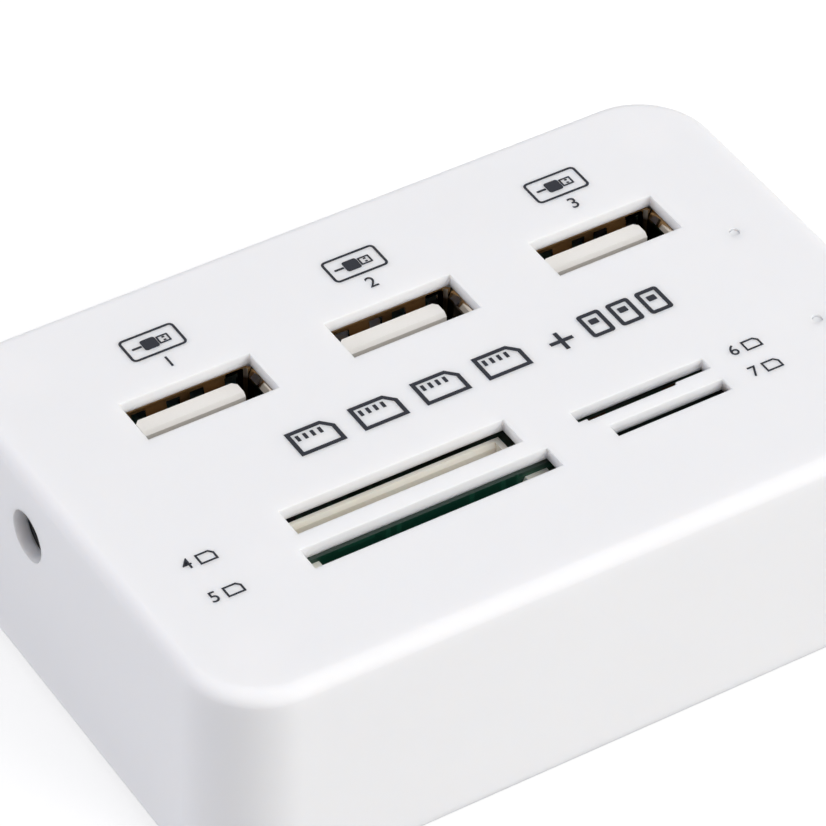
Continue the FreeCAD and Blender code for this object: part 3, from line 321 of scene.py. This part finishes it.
# Upright ports: three sleeves folded from plated steel strip, with spring leaves pressed out of their walls.
# Inside each stands a tongue of off-white PBT that carries four gold-plated contacts.
# Tin-copper flash on rolled strip: a warm smooth mirror, so deep in the port it shows dark brown.
port_steel = finish("plated steel strip, rolled", "#A98B64", "#93754E", patch=3.0, roughness=0.09, swing=0.04,
                    grain=0.2, relief=0.003, sockets={"Metallic": 1.0})
# The end walls carry painted light: a painted silver highlight on the lips at the top, and painted dark shade
# on the walls below them.
LIP_DEPTH = 1.0
LIP_BLEND = 0.2
LIP_PAINTED_HIGHLIGHT = "#E4DFD8"
END_PAINTED_SHADE = "#3A2E22"
strip = port_steel.node_tree
coat = strip.nodes["Principled BSDF"]
brown = coat.inputs["Base Color"].links[0].from_socket
where = add(strip, "ShaderNodeTexCoord", {})
facing = add(strip, "ShaderNodeSeparateXYZ", {"Vector": where.outputs["Normal"]})
ends = add(strip, "ShaderNodeMath", {0: facing.outputs["X"]}, operation="ABSOLUTE")
height = add(strip, "ShaderNodeSeparateXYZ", {"Vector": where.outputs["Object"]})
lip_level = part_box("port_shell_1")[1][2] - LIP_DEPTH * MM
lip = add(strip, "ShaderNodeMapRange", {"Value": height.outputs["Z"], "From Min": lip_level - LIP_BLEND * MM,
                                        "From Max": lip_level + LIP_BLEND * MM})
# On the end walls only: painted shade below the lip level and a painted highlight above it.
end_painted_light = add(strip, "ShaderNodeMix", {FACTOR: lip.outputs["Result"], FIRST: linear(END_PAINTED_SHADE),
                                        SECOND: linear(LIP_PAINTED_HIGHLIGHT)}, data_type="RGBA")
tint = add(strip, "ShaderNodeMix", {FACTOR: ends.outputs["Value"], FIRST: brown,
                                    SECOND: end_painted_light.outputs[MIXED]}, data_type="RGBA")
strip.links.new(tint.outputs[MIXED], coat.inputs["Base Color"])
# PBT: off-white and satin, with slow clouds from the mould's flow.
port_pbt = finish("off-white PBT, moulded", "#F3F1EE", "#EEEBE7", patch=4.0, roughness=0.45, swing=0.06,
                  grain=0.2, relief=0.006, sockets={})
# Gold flash: thin and bright over nickel.
contact_gold = finish("gold flash over nickel", "#D8B064", "#C79A4C", patch=0.8, roughness=0.24, swing=0.06,
                      grain=0.15, relief=0.003, sockets={"Metallic": 1.0})
for number in (1, 2, 3):
    dress(port_steel, "port_shell_%d" % number)
    dress(port_pbt, "port_insulator_%d" % number)
    dress(contact_gold, "port_contacts_%d" % number)


# Card sockets: moulded frames soldered to both faces of the upright board, some under a folded steel lid.
# The two large ones are cream nylon, the two small ones black, and all have gold-plated springs.
# Cream nylon: satin, a little uneven in tone.
cream_nylon = finish("cream nylon, moulded", "#FFF9EF", "#FAF2E4", patch=5.0, roughness=0.5, swing=0.06,
                     grain=0.25, relief=0.008,
                     sockets={"Subsurface Weight": 0.5, "Subsurface Scale": 0.5 * MM,
                              "Subsurface Radius": (1.0, 0.85, 0.7)})
dress(cream_nylon, "full_slot_frame", "stick_slot_housing")
# Black nylon: satin, with a faint brown cast.
black_nylon = finish("black nylon, moulded", "#1B1A19", "#242220", patch=3.0, roughness=0.5, swing=0.07,
                     grain=0.2, relief=0.008, sockets={})
dress(black_nylon, "small_stick_frame", "micro_slot_frame")
# Rolled stainless sheet: soft gloss with faint clouds.
socket_steel = finish("stainless socket lid, rolled", "#A9A39A", "#958E84", patch=3.0, roughness=0.34,
                      swing=0.07, grain=0.2, relief=0.005, sockets={"Metallic": 1.0})
dress(socket_steel, "full_slot_cover", "micro_slot_cover")
# Bronze strip, stamped: brown and smooth.
stamped_bronze = finish("stamped bronze strip", "#5C4838", "#4A392C", patch=2.0, roughness=0.3, swing=0.07,
                        grain=0.2, relief=0.004, sockets={"Metallic": 1.0})
dress(stamped_bronze, "small_stick_cover")
dress(contact_gold, "full_slot_contacts", "stick_slot_contacts", "small_stick_contacts",
      "micro_slot_contacts")


# Power jack: a black nylon barrel behind the hole in the left wall, with a plated centre pin and side spring.
# It is soldered to the main board by the pin's and the spring's legs.
# Glass-filled nylon: dull black with a faint fibre grain.
jack_nylon = finish("black glass-filled nylon", "#161617", "#1E1E20", patch=2.0, roughness=0.46, swing=0.08,
                    grain=0.2, relief=0.01, sockets={})
dress(jack_nylon, "power_jack_body")
dress(lead_tin, "power_jack_pin", "power_jack_spring")


# Data inlet: a five-contact socket on the board's back edge, its mouth just inside the back wall's window.
# The shell is folded bright steel, the block inside is black nylon with flat gold-plated contacts.
# Bright nickel: a clear, cool gloss.
inlet_steel = finish("bright nickel-plated shell", "#CBC9C4", "#B9B6B0", patch=2.5, roughness=0.24,
                     swing=0.07, grain=0.2, relief=0.005, sockets={"Metallic": 1.0})
dress(inlet_steel, "data_inlet_shell")
dress(jack_nylon, "data_inlet_insulator")
dress(contact_gold, "data_inlet_contacts")


# Light pipes: two moulded rods of frosted acrylic in sleeves under the lid, which bring the lamps' light up.
# Their frosted round tips show as faint grey dots in the two small holes of the top face.
frosted_acrylic = finish("frosted acrylic, moulded", "#E9EAEC", "#DFE0E3", patch=0.5, roughness=0.45,
                         swing=0.08, grain=0.1, relief=0.006, sockets={"IOR": 1.49})
dress(frosted_acrylic, "light_pipe_1", "light_pipe_2")


# Top cover: the white ABS lid with its four walls, moulded in one piece with its windows, bosses and sleeves.
# Its skin is a merged copy of the solid, so that the rounded corners shade smoothly up to the flat faces.
# The flat top is let down by the print's film, and every window's upper edge has the mould's rounding.
INK_FILM = 0.01
WINDOW_ROUND = 0.06
WINDOW_STEPS = 2
# Where a window has a small step, the rounding takes no more than this share of it.
STEP_SHARE = 0.4
SAME_POINT = 0.0005
SAME_PLANE = math.radians(0.2)
RIM_ANGLE = math.radians(80)
lid = bpy.data.objects.new("lid", nodes["top_cover"].data.copy())
bpy.context.collection.objects.link(lid)
shape = bmesh.new()
shape.from_mesh(lid.data)
bmesh.ops.remove_doubles(shape, verts=shape.verts, dist=SAME_POINT * MM)
top_level = max(vertex.co.z for vertex in shape.verts)
for vertex in shape.verts:
    if vertex.co.z > top_level - INK_FILM * MM / 2:
        vertex.co.z -= INK_FILM * MM
bmesh.ops.dissolve_limit(shape, angle_limit=SAME_PLANE, verts=shape.verts, edges=shape.edges)
face_level = max(vertex.co.z for vertex in shape.verts) - INK_FILM * MM / 2
rims = [edge for edge in shape.edges if min(vertex.co.z for vertex in edge.verts) > face_level
        and edge.calc_face_angle() > RIM_ANGLE]
while rims:
    # One window's rim: an edge, the edges that meet it, those that meet them, and so on.
    rim = [rims.pop(0)]
    for edge in rim:
        near = [other for other in rims if set(other.verts) & set(edge.verts)]
        rims = [other for other in rims if other not in near]
        rim += near
    size = min(WINDOW_ROUND * MM, STEP_SHARE * min(edge.calc_length() for edge in rim))
    bmesh.ops.bevel(shape, geom=rim, offset=size, offset_type="OFFSET", segments=WINDOW_STEPS, profile=0.5,
                    affect="EDGES", clamp_overlap=True)
shape.to_mesh(lid.data)
shape.free()
lid.data.shade_smooth()
lid.data.set_sharp_from_angle(angle=SHARP_ANGLE)
flatten = lid.modifiers.new("flat faces stay flat", "WEIGHTED_NORMAL")
flatten.keep_sharp = True
lid.data.materials.clear()
lid.data.materials.append(white_abs)
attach(lid, "root")
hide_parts("top_cover")


# Print on the lid: dark slate ink laid on by a rubber pad, in a film a hundredth of a millimetre thick.
# A framed plug stands over each port, plain numbers tell ports and slots apart, and a row of cards and
# sockets runs across the middle.
PORT_ICON_Y = 17.98
ICON_SIZE = (5.6, 3.15)
ICON_LINE = 0.26
ICON_CORNER = 0.5
ICON_INNER_CORNER = 0.26
# The plug's boxes, by size, middle and corner radius: cord, body, sleeve outside and inside, and two holes.
PLUG_BOXES = (((1.0, 0.26), (-1.6, 0), 0.1), ((1.5, 1.4), (-0.3, 0), 0.25),
              ((1.2, 1.05), (1.1, 0), 0.1), ((0.84, 0.69), (1.1, 0), 0.03),
              ((0.26, 0.2), (1.15, 0.2), 0.02), ((0.26, 0.2), (1.15, -0.2), 0.02))
PORT_NUMBER_Y = 15.0
PORT_NUMBER_HEIGHT = 1.4
ROW_Y = 0.1
ROW_LINE = 0.42
CARD_SIZE = (4.6, 3.2)
CARD_CLIP = 1.0
# The inner line of a clipped corner is shorter than the outer one by this share of the line's width.
CLIP_SHARE = 0.586
CARD_PLACES = (-14.8, -8.4, -2.0, 4.4)
CONTACT_SIZE = (0.34, 0.75)
CONTACT_CORNER = 0.05
CONTACT_COUNT = 4
CONTACT_FIRST = (-1.45, 0.55)
CONTACT_STEP = 0.75
SOCKET_SIZE = (2.4, 3.2)
SOCKET_CORNER = 0.35
SOCKET_INNER_CORNER = 0.1
SOCKET_HOLE = ((0.9, 0.7), (0, 0.35), 0.1)
SOCKET_PLACES = (14.3, 17.4, 20.5)
PLUS_PLACE = (10.4, -0.3)
PLUS_SIZE = 2.4
SLOT_NUMBERS = (("4", -32.4, -8.0), ("5", -32.4, -12.6), ("6", 22.8, -9.2), ("7", 22.8, -12.4))
SLOT_NUMBER_HEIGHT = 1.3
SMALL_CARD_SIZE = (1.75, 1.3)
SMALL_CARD_CLIP = 0.4
SMALL_CARD_INNER_CLIP = 0.3
SMALL_CARD_LINE = 0.2
SMALL_CARD_STEP = 1.9
CORNER_STEPS = 5
PRINT_MERGE = 0.001
# A digit's height and its added stroke, as shares of the type's size.
DIGIT_SHARE = 0.7
DIGIT_BOLD = 0.007


def box_loop(size, centre, corner):
    """The outline of an upright box with rounded corners."""
    loop = []
    for quarter, (x, y) in enumerate(((1, 1), (-1, 1), (-1, -1), (1, -1))):
        for step in range(CORNER_STEPS + 1):
            angle = math.pi / 2 * (quarter + step / CORNER_STEPS)
            loop.append((centre[0] + x * (size[0] / 2 - corner) + corner * math.cos(angle),
                         centre[1] + y * (size[1] / 2 - corner) + corner * math.sin(angle)))
    return loop


def card_loop(size, clip):
    """The outline of a card with its upper right corner clipped."""
    x = size[0] / 2
    y = size[1] / 2
    return [(-x, -y), (x, -y), (x, y - clip), (x - clip, y), (-x, y)]


def less(size, line):
    """A box made smaller by a line's width all round."""
    return size[0] - 2 * line, size[1] - 2 * line


# Pad-printing ink: dark slate, nearly matt, and thin enough to follow the lid's grain.
slate_ink = finish("slate pad-printing ink", "#2C2E36", "#26282F", patch=3.0, roughness=0.5, swing=0.05,
                   grain=0.3, relief=0.003, sockets={"Specular IOR Level": 0.2})
pad = bpy.data.node_groups.new("pad print", "GeometryNodeTree")
pad_sockets = [pad.interface.new_socket(label, in_out="INPUT", socket_type=kind) for label, kind in (
    ("Outline", "NodeSocketGeometry"), ("Film", "NodeSocketFloat"), ("Unit", "NodeSocketFloat"),
    ("Ink", "NodeSocketMaterial"))]
pad.interface.new_socket("Print", in_out="OUTPUT", socket_type="NodeSocketGeometry")
given = add(pad, "NodeGroupInput", {}).outputs
mark = add(pad, "GeometryNodeInputNamedAttribute", {"Name": "place"}, data_type="BOOLEAN")
parted = add(pad, "GeometryNodeSeparateGeometry", {"Geometry": given["Outline"],
                                                   "Selection": mark.outputs["Attribute"]}, domain="POINT")
loops = add(pad, "GeometryNodeMeshToCurve", {"Mesh": parted.outputs["Inverted"]})
film = add(pad, "GeometryNodeFillCurve", {"Curve": loops.outputs["Curve"]}, mode="NGONS")
raised = add(pad, "GeometryNodeExtrudeMesh", {"Mesh": film.outputs["Mesh"], "Offset Scale": given["Film"],
                                              "Individual": False}, mode="FACES")
under = add(pad, "GeometryNodeFlipFaces", {"Mesh": film.outputs["Mesh"]})
slab = add(pad, "GeometryNodeJoinGeometry", {"Geometry": [raised.outputs["Mesh"], under.outputs["Mesh"]]})
closed = add(pad, "GeometryNodeMergeByDistance", {"Geometry": slab.outputs["Geometry"],
                                                  "Distance": PRINT_MERGE})
copies = add(pad, "GeometryNodeInstanceOnPoints", {"Points": parted.outputs["Selection"],
                                                   "Instance": closed.outputs["Geometry"],
                                                   "Scale": given["Unit"]})
real = add(pad, "GeometryNodeRealizeInstances", {"Geometry": copies.outputs["Instances"]})
inked = add(pad, "GeometryNodeSetMaterial", {"Geometry": real.outputs["Geometry"], "Material": given["Ink"]})
add(pad, "NodeGroupOutput", {"Print": inked.outputs["Geometry"]})


def pad_print(name, outline, places):
    """Prints closed outlines, drawn in mm, at each (x, y) place on the lid."""
    points = []
    edges = []
    for loop in outline:
        start = len(points)
        points += [(x, y, 0) for x, y in loop]
        edges += [(start + n, start + (n + 1) % len(loop)) for n in range(len(loop))]
    spots = [(x * MM, y * MM, top_level - INK_FILM * MM) for x, y in places]
    mesh = bpy.data.meshes.new(name)
    mesh.from_pydata(points + spots, edges, [])
    flags = mesh.attributes.new("place", "BOOLEAN", "POINT")
    for n in range(len(points), len(points) + len(spots)):
        flags.data[n].value = True
    piece = grown(name, mesh, pad, pad_sockets, [INK_FILM, MM, slate_ink])
    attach(piece, "root")


port_edges = [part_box("port_shell_%d" % number) for number in (1, 2, 3)]
port_middles = [(low[0] + high[0]) / 2 / MM for low, high in port_edges]
icon = [box_loop(ICON_SIZE, (0, 0), ICON_CORNER),
        box_loop(less(ICON_SIZE, ICON_LINE), (0, 0), ICON_INNER_CORNER)]
icon += [box_loop(*box) for box in PLUG_BOXES]
pad_print("print_port_icons", icon, [(x, PORT_ICON_Y) for x in port_middles])
card = [card_loop(CARD_SIZE, CARD_CLIP),
        card_loop(less(CARD_SIZE, ROW_LINE), CARD_CLIP - CLIP_SHARE * ROW_LINE)]
card += [box_loop(CONTACT_SIZE, (CONTACT_STEP * number + CONTACT_FIRST[0], CONTACT_FIRST[1]), CONTACT_CORNER)
         for number in range(CONTACT_COUNT)]
pad_print("print_cards", card, [(x, ROW_Y) for x in CARD_PLACES])
socket = [box_loop(SOCKET_SIZE, (0, 0), SOCKET_CORNER),
          box_loop(less(SOCKET_SIZE, ROW_LINE), (0, 0), SOCKET_INNER_CORNER), box_loop(*SOCKET_HOLE)]
pad_print("print_sockets", socket, [(x, ROW_Y) for x in SOCKET_PLACES])
arm = PLUS_SIZE / 2
half = ROW_LINE / 2
plus = [(half, half), (half, arm), (-half, arm), (-half, half), (-arm, half), (-arm, -half),
        (-half, -half), (-half, -arm), (half, -arm), (half, -half), (arm, -half), (arm, half)]
pad_print("print_plus", [plus], [PLUS_PLACE])
small_card = [card_loop(SMALL_CARD_SIZE, SMALL_CARD_CLIP),
              card_loop(less(SMALL_CARD_SIZE, SMALL_CARD_LINE), SMALL_CARD_INNER_CLIP)]
pad_print("print_slot_cards", small_card, [(x + SMALL_CARD_STEP, y) for _, x, y in SLOT_NUMBERS])
numbers = bpy.data.objects.new("print_numbers", bpy.data.meshes.new("print_numbers"))
bpy.context.collection.objects.link(numbers)
digits = [(str(number), x, PORT_NUMBER_Y, PORT_NUMBER_HEIGHT) for number, x in enumerate(port_middles, 1)]
digits += [(digit, x, y, SLOT_NUMBER_HEIGHT) for digit, x, y in SLOT_NUMBERS]
shape = bmesh.new()
for digit, x, y, height in digits:
    em = height / DIGIT_SHARE
    stroke = bpy.data.curves.new("digit", "FONT")
    stroke.body = digit
    stroke.align_x = "CENTER"
    stroke.align_y = "CENTER"
    stroke.extrude = INK_FILM / em / 2
    stroke.offset = DIGIT_BOLD
    holder = bpy.data.objects.new("digit", stroke)
    bpy.context.collection.objects.link(holder)
    steps = bpy.context.evaluated_depsgraph_get()
    glyph = bpy.data.meshes.new_from_object(holder.evaluated_get(steps), depsgraph=steps)
    middle = Matrix.Translation((x * MM, y * MM, top_level - INK_FILM * MM / 2))
    glyph.transform(middle @ Matrix.Scale(em * MM, 4))
    shape.from_mesh(glyph)
    bpy.data.objects.remove(holder)
bmesh.ops.remove_doubles(shape, verts=shape.verts, dist=PRINT_MERGE * MM)
bmesh.ops.recalc_face_normals(shape, faces=shape.faces)
shape.to_mesh(numbers.data)
shape.free()
numbers.data.materials.append(slate_ink)
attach(numbers, "root")


# Camera: at the photo's viewing angle, fitted to the corners of the slots and windows.
# A long lens from half a metre away, turned by a small roll.
IMAGE_SIZE = 826
FOCUS_PIXELS = 5271.75
SENSOR = 36.0
NEAREST = 10.0
EYE = Vector((-191.0, -286.64, 332.8)) * MM
AZIMUTH = math.radians(-32.997)
ELEVATION = math.radians(42.281)
ROLL = math.radians(1.528)
backward = Vector((math.sin(AZIMUTH) * math.cos(ELEVATION), -math.cos(AZIMUTH) * math.cos(ELEVATION),
                   math.sin(ELEVATION)))
level = Vector((math.cos(AZIMUTH), math.sin(AZIMUTH), 0))
upward = backward.cross(level)
across = math.cos(ROLL) * level + math.sin(ROLL) * upward
upright = math.cos(ROLL) * upward - math.sin(ROLL) * level
camera = bpy.data.objects.new("camera", bpy.data.cameras.new("camera"))
camera.data.sensor_width = SENSOR
camera.data.lens = FOCUS_PIXELS * SENSOR / IMAGE_SIZE
camera.data.clip_start = NEAREST * MM
camera.matrix_world = Matrix.Translation(EYE) @ Matrix((across, upright, backward)).transposed().to_4x4()
bpy.context.collection.objects.link(camera)
bpy.context.scene.camera = camera


# Floor and light: a wide matt floor, an even and faintly blue sky, a large soft lamp in front to the right
# and a weaker, lower one at the left towards the back. Floor and sky look white to the eye and in mirrors,
# which show no lamp. The floor is clear from below, and right under the box it lets the sky's light up.
FLOOR_HALF_METRES = 3.0
FLOOR_DROP = 0.02
FLOOR_GREY = "#BCBCBC"
FLOOR_GLOW = 0.6
UNDER_REACH = 3.0
SKY_TINT = "#FBFBFF"
SKY_LIGHT = 0.455
WHITE = "#FFFFFF"
LAMP_METRES = 1.2
# Each lamp's name, watts, colour and place in metres; both face the box.
LAMPS = (("main lamp", 24.8, "#FFFFFB", Vector((0.7, -1.14, 1.05))),
         ("fill lamp", 12.8, "#F6F8FF", Vector((-1.41, 0.75, 0.58))))


def seen(tree):
    """1 for rays from the eye, and for reflections and glass, which show the backdrop too."""
    path = add(tree, "ShaderNodeLightPath", {})
    shine = add(tree, "ShaderNodeMath", {0: path.outputs["Is Camera Ray"], 1: path.outputs["Is Glossy Ray"]},
                operation="MAXIMUM")
    return add(tree, "ShaderNodeMath", {0: shine.outputs["Value"], 1: path.outputs["Is Transmission Ray"]},
               operation="MAXIMUM").outputs["Value"]


floor = bpy.data.objects.new("floor", bpy.data.meshes.new("floor"))
corners = [(x * FLOOR_HALF_METRES, y * FLOOR_HALF_METRES, -FLOOR_DROP * MM)
           for x, y in ((-1, -1), (1, -1), (1, 1), (-1, 1))]
floor.data.from_pydata(corners, [], [(0, 1, 2, 3)])
bpy.context.collection.objects.link(floor)
paper = bpy.data.materials.new("matt white paper")
paper.use_nodes = True
sheet = paper.node_tree
sheet.nodes.clear()
dull = add(sheet, "ShaderNodeBsdfDiffuse", {"Color": linear(FLOOR_GREY)})
faint = add(sheet, "ShaderNodeMath", {0: seen(sheet), 1: FLOOR_GLOW}, operation="MULTIPLY")
glow = add(sheet, "ShaderNodeEmission", {"Color": linear(WHITE), "Strength": faint.outputs["Value"]})
pale = add(sheet, "ShaderNodeAddShader", {0: dull.outputs["BSDF"], 1: glow.outputs["Emission"]})
reach = add(sheet, "ShaderNodeLightPath", {}).outputs["Ray Length"]
close = add(sheet, "ShaderNodeMath", {0: reach, 1: UNDER_REACH * MM}, operation="LESS_THAN")
below = add(sheet, "ShaderNodeNewGeometry", {}).outputs["Backfacing"]
opened = add(sheet, "ShaderNodeMath", {0: close.outputs["Value"], 1: below}, operation="MAXIMUM")
clear = add(sheet, "ShaderNodeBsdfTransparent", {})
surface = add(sheet, "ShaderNodeMixShader", {0: opened.outputs["Value"], 1: pale.outputs["Shader"],
                                             2: clear.outputs["BSDF"]})
add(sheet, "ShaderNodeOutputMaterial", {"Surface": surface.outputs["Shader"]})
floor.data.materials.append(paper)

world = bpy.data.worlds.new("even pale sky")
bpy.context.scene.world = world
world.use_nodes = True
dome = world.node_tree
dome.nodes.clear()
sky = add(dome, "ShaderNodeBackground", {"Color": linear(SKY_TINT), "Strength": SKY_LIGHT})
backdrop = add(dome, "ShaderNodeBackground", {"Color": linear(WHITE), "Strength": 1.0})
mixed = add(dome, "ShaderNodeMixShader", {0: seen(dome), 1: sky.outputs["Background"],
                                          2: backdrop.outputs["Background"]})
add(dome, "ShaderNodeOutputWorld", {"Surface": mixed.outputs["Shader"]})

for name, power, colour, spot in LAMPS:
    lamp = bpy.data.objects.new(name, bpy.data.lights.new(name, "AREA"))
    lamp.data.energy = power
    lamp.data.size = LAMP_METRES
    lamp.visible_glossy = False
    lamp.data.color = linear(colour)[:3]
    lamp.matrix_world = Matrix.Translation(spot) @ spot.to_track_quat("Z", "Y").to_matrix().to_4x4()
    bpy.context.collection.objects.link(lamp)

bpy.context.scene.view_settings.view_transform = "Standard"
